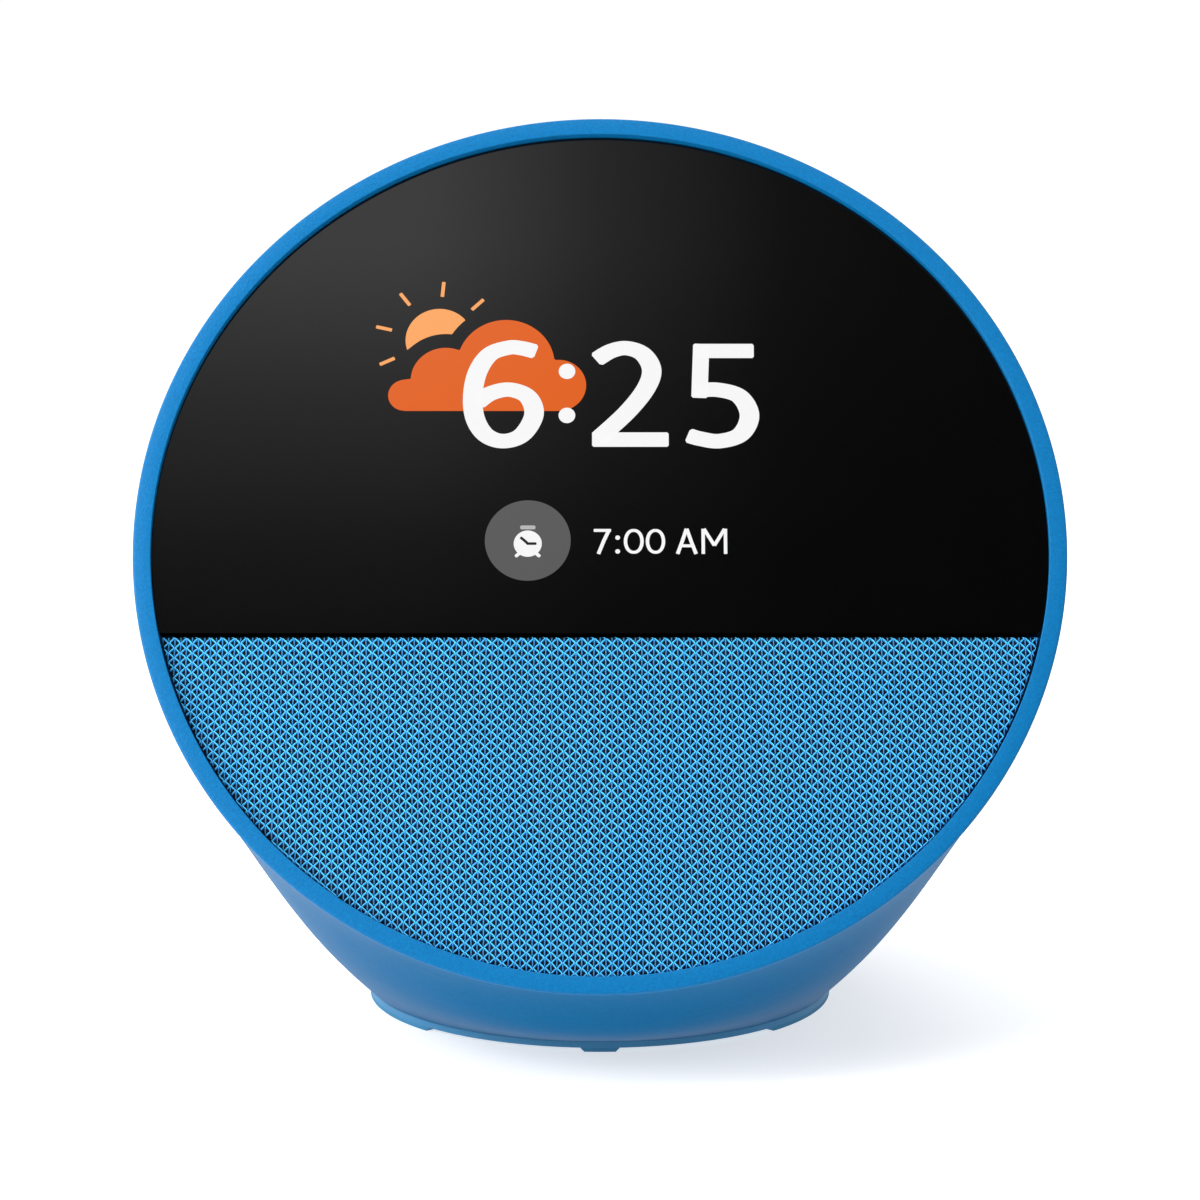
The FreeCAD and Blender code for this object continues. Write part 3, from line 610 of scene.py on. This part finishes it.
def raised_mark(name, node, middle_x, lines, body):
    """Low raised lines moulded on a button's crown, laid along its curve."""
    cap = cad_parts[node]
    to_cap = cap.matrix_world.inverted()
    points, faces = [], []
    for line in lines:
        dense = [(a[0] + (b[0] - a[0]) * i / 6, a[1] + (b[1] - a[1]) * i / 6)
                 for a, b in zip(line, line[1:]) for i in range(6)] + [line[-1]]
        first = len(points)
        for i, (x, d) in enumerate(dense):
            a, b = dense[max(i - 1, 0)], dense[min(i + 1, len(dense) - 1)]
            long = hypot(b[0] - a[0], b[1] - a[1])
            nx, nd = -(b[1] - a[1]) / long, (b[0] - a[0]) / long
            for across, rise in ((-0.26, -0.1), (-0.18, 0.12), (0.18, 0.12), (0.26, -0.1)):
                above = face_to_row @ Vector(((middle_x + x + nx * across) * mm, 80 * mm,
                                              button_depth + (d + nd * across) * mm))
                spot = cap.ray_cast(to_cap @ above, to_cap.to_3x3() @ -face_up)[1]
                points.append(cap.matrix_world @ spot + face_up * rise * mm)
        for i in range(len(dense) - 1):
            a = first + i * 4
            faces += [(a + k, a + k + 1, a + k + 5, a + k + 4) for k in range(3)]
        last = first + (len(dense) - 1) * 4
        faces += [(first, first + 1, first + 2, first + 3), (last + 3, last + 2, last + 1, last)]
    mesh = bpy.data.meshes.new(name)
    mesh.from_pydata(points, [], faces)
    for face in mesh.polygons:
        if face.normal.dot(face_up) < -0.01:
            face.flip()
    new_piece(name, mesh, shaded_body_blue, body)


# Button caps and their raised marks share the body's darkened blue, with its painted shade.
for name in ("volume_down", "mic_mute", "volume_up"):
    finish_node(name + "_button", shaded_body_blue)
raised_mark("less_mark", "volume_down_button", -button_pitch, level_mark, "volume_down")
raised_mark("mute_mark", "mic_mute_button", 0.0, microphone_mark, "mic_mute")
raised_mark("more_mark", "volume_up_button", button_pitch, level_mark + upright_mark, "volume_up")

# Power inlet low on the back: black moulded socket with a gold-plated centre pin.
jack_black = moulded("jack_black", (0.012, 0.012, 0.013), 0.5)
finish_node("power_jack", jack_black)


def metal(name, colour, roughness, size):
    """Plated or brushed metal with faint working marks."""
    made, tree, shader = new_material(name)
    shader.inputs["Metallic"].default_value = 1.0
    shader.inputs["Roughness"].default_value = roughness
    place = mottle(tree, shader, colour, 0.08, size)
    grain(tree, shader, place, size / 6, 0.004 * mm)
    return made


pin_gold = metal("pin_gold", (0.75, 0.55, 0.22), 0.25, 1.0 * mm)
screw_steel = metal("screw_steel", (0.42, 0.42, 0.44), 0.35, 1.5 * mm)
finish_node("jack_center_pin", pin_gold)

# Working parts inside: screen sandwich, loudspeaker, boards and their shields. They keep the
# shapes they were designed with, each in the finish that its material has.
bright_metal = metal("bright_metal", (0.60, 0.61, 0.62), 0.3, 4 * mm)
soft_steel = metal("soft_steel", (0.33, 0.34, 0.36), 0.45, 3 * mm)
aluminium = metal("aluminium", (0.66, 0.67, 0.68), 0.4, 3 * mm)
copper = metal("copper", (0.72, 0.30, 0.14), 0.35, 0.6 * mm)
board_green = moulded("board_green", (0.012, 0.10, 0.035), 0.35, 0.6 * mm)
chip_black = moulded("chip_black", (0.014, 0.014, 0.015), 0.45)
frame_black = moulded("frame_black", (0.010, 0.010, 0.011), 0.55)
ferrite = moulded("ferrite", (0.035, 0.034, 0.036), 0.6, 0.4 * mm)
foam_black = moulded("foam_black", (0.012, 0.012, 0.012), 0.95, 0.3 * mm, 0.05 * mm)
paper_black = moulded("paper_black", (0.018, 0.018, 0.02), 0.9, 0.5 * mm, 0.04 * mm)
rubber_black = moulded("rubber_black", (0.01, 0.01, 0.01), 0.5)
cotton_tan = moulded("cotton_tan", (0.42, 0.25, 0.07), 0.9, 0.3 * mm, 0.05 * mm)
film_amber = moulded("film_amber", (0.40, 0.13, 0.012), 0.25)
film_clear = moulded("film_clear", (0.02, 0.022, 0.025), 0.1)
panel_dark = moulded("panel_dark", (0.006, 0.006, 0.008), 0.15)
light_white = moulded("light_white", (0.78, 0.79, 0.79), 0.5)
plug_cream = moulded("plug_cream", (0.66, 0.58, 0.44), 0.4)
inner = {
    screw_steel: ("base_screws", "chassis_screws", "enclosure_screws", "board_screws"),
    soft_steel: ("base_weight", "speaker_basket", "speaker_top_plate", "speaker_yoke"),
    bright_metal: ("lcd_bracket", "shield_can"),
    aluminium: ("heat_spreader",),
    copper: ("voice_coil",),
    board_green: ("main_board", "button_board", "power_board"),
    chip_black: ("light_sensor", "processor", "memory_chip", "wireless_module", "tact_switches",
                 "microphones"),
    frame_black: ("front_chassis", "grille_plate", "speaker_enclosure", "volume_down_plunger",
                  "mic_mute_plunger", "volume_up_plunger"),
    ferrite: ("speaker_magnet",),
    foam_black: ("glass_adhesive", "speaker_gasket", "mic_gaskets", "thermal_pad"),
    paper_black: ("speaker_cone", "dust_cap"),
    rubber_black: ("surround", "speaker_leads", "power_cable"),
    cotton_tan: ("spider",),
    film_amber: ("display_flex", "antenna_left", "antenna_right"),
    film_clear: ("touch_sensor",),
    panel_dark: ("lcd_panel",),
    light_white: ("backlight_unit",),
    plug_cream: ("display_connector", "speaker_connector"),
}
for material, names in inner.items():
    for name in names:
        finish_node(name, material)

# Studio: a pale floor and even white surroundings, a wide light overhead, a nearer one on the
# left, and a graded panel that the glass mirrors: bright at its upper left, dark at its right.
# The floor glows a little, so that it stays white to its far edge.
floor_mesh = bpy.data.meshes.new("floor")
floor_mesh.from_pydata([(-6, -4, 0), (6, -4, 0), (6, 9, 0), (-6, 9, 0)], [], [(0, 1, 2, 3)])
floor = bpy.data.objects.new("floor", floor_mesh)
bpy.context.scene.collection.objects.link(floor)
floor_white, tree, shader = new_material("floor_white")
shader.inputs["Roughness"].default_value = 1.0
shader.inputs["Specular IOR Level"].default_value = 0.0
shader.inputs["Emission Color"].default_value = (1, 1, 1, 1)
shader.inputs["Emission Strength"].default_value = 0.61
mottle(tree, shader, (0.6, 0.6, 0.6), 0.01, 0.5)
floor_mesh.materials.append(floor_white)

panel_mesh = bpy.data.meshes.new("panel")
along, up = Vector((1, 0, 0)), Vector((0, 0.757, 0.654))
panel_middle = Vector((0, -0.678, 0.818))
panel_mesh.from_pydata([panel_middle + along * x + up * v for x, v in
                        ((-0.7, -0.45), (-0.7, 0.45), (0.45, 0.45), (0.45, -0.45))], [], [(0, 1, 2, 3)])
panel = bpy.data.objects.new("panel", panel_mesh)
bpy.context.scene.collection.objects.link(panel)
panel_glow, tree, shader = new_material("panel_glow")
shader.inputs["Base Color"].default_value = (0.01, 0.01, 0.01, 1)
shader.inputs["Roughness"].default_value = 1.0
place = add(tree, "TexCoord")
parts = add(tree, "SeparateXYZ")
tree.links.new(place.outputs["Object"], parts.inputs["Vector"])
shades = []
for port, low, high, steps in (
        ("X", -0.16, 0.16, ((0.0, 1.0), (0.3, 1.0), (0.5, 0.38), (0.70, 0.07), (0.82, 0.03), (1.0, 0.015))),
        ("Z", 0.76, 0.92, ((0.0, 0.0), (0.2, 0.04), (0.39, 0.15), (0.6, 0.46), (0.81, 1.0), (1.0, 1.0)))):
    spread = add(tree, "MapRange")
    spread.inputs["From Min"].default_value = low
    spread.inputs["From Max"].default_value = high
    ramp = add(tree, "ValToRGB")
    for (where, level), element in zip((steps[0], steps[-1]), ramp.color_ramp.elements):
        element.position, element.color = where, (level, level, level, 1)
    for where, level in steps[1:-1]:
        ramp.color_ramp.elements.new(where).color = (level, level, level, 1)
    tree.links.new(parts.outputs[port], spread.inputs["Value"])
    tree.links.new(spread.outputs["Result"], ramp.inputs["Fac"])
    shades.append(ramp)
both = add(tree, "VectorMath")
both.operation = "MULTIPLY"
tree.links.new(shades[0].outputs["Color"], both.inputs[0])
tree.links.new(shades[1].outputs["Color"], both.inputs[1])
tree.links.new(both.outputs["Vector"], shader.inputs["Emission Color"])
shader.inputs["Emission Strength"].default_value = 1.15
panel_mesh.materials.append(panel_glow)

world = bpy.data.worlds.new("studio")
world.use_nodes = True
world.node_tree.nodes["Background"].inputs["Color"].default_value = (1, 1, 1, 1)
world.node_tree.nodes["Background"].inputs["Strength"].default_value = 0.70
bpy.context.scene.world = world


def soft_light(name, place, aim, size, power):
    lamp = bpy.data.lights.new(name, "AREA")
    lamp.shape = "DISK"
    lamp.size = size
    lamp.energy = power
    holder = bpy.data.objects.new(name, lamp)
    bpy.context.scene.collection.objects.link(holder)
    holder.location = place
    holder.rotation_euler = (Vector(aim) - Vector(place)).to_track_quat("-Z", "Y").to_euler()


soft_light("overhead", (0, 0.1, 1.1), (0, 0.05, 0), 1.2, 8.5)
soft_light("near_left", (-0.34, -0.18, 0.28), (0, -0.02, 0.06), 0.5, 3.2)

camera = bpy.data.cameras.new("camera")
camera.lens = 130.2
camera.sensor_width = 36
camera.clip_start = 0.01
view = bpy.data.objects.new("camera", camera)
bpy.context.scene.collection.objects.link(view)
view.location = (0, -0.5434, 0.1374)
view.rotation_euler = (radians(80.90), 0, 0)
bpy.context.scene.camera = view
bpy.context.scene.view_settings.view_transform = "Standard"
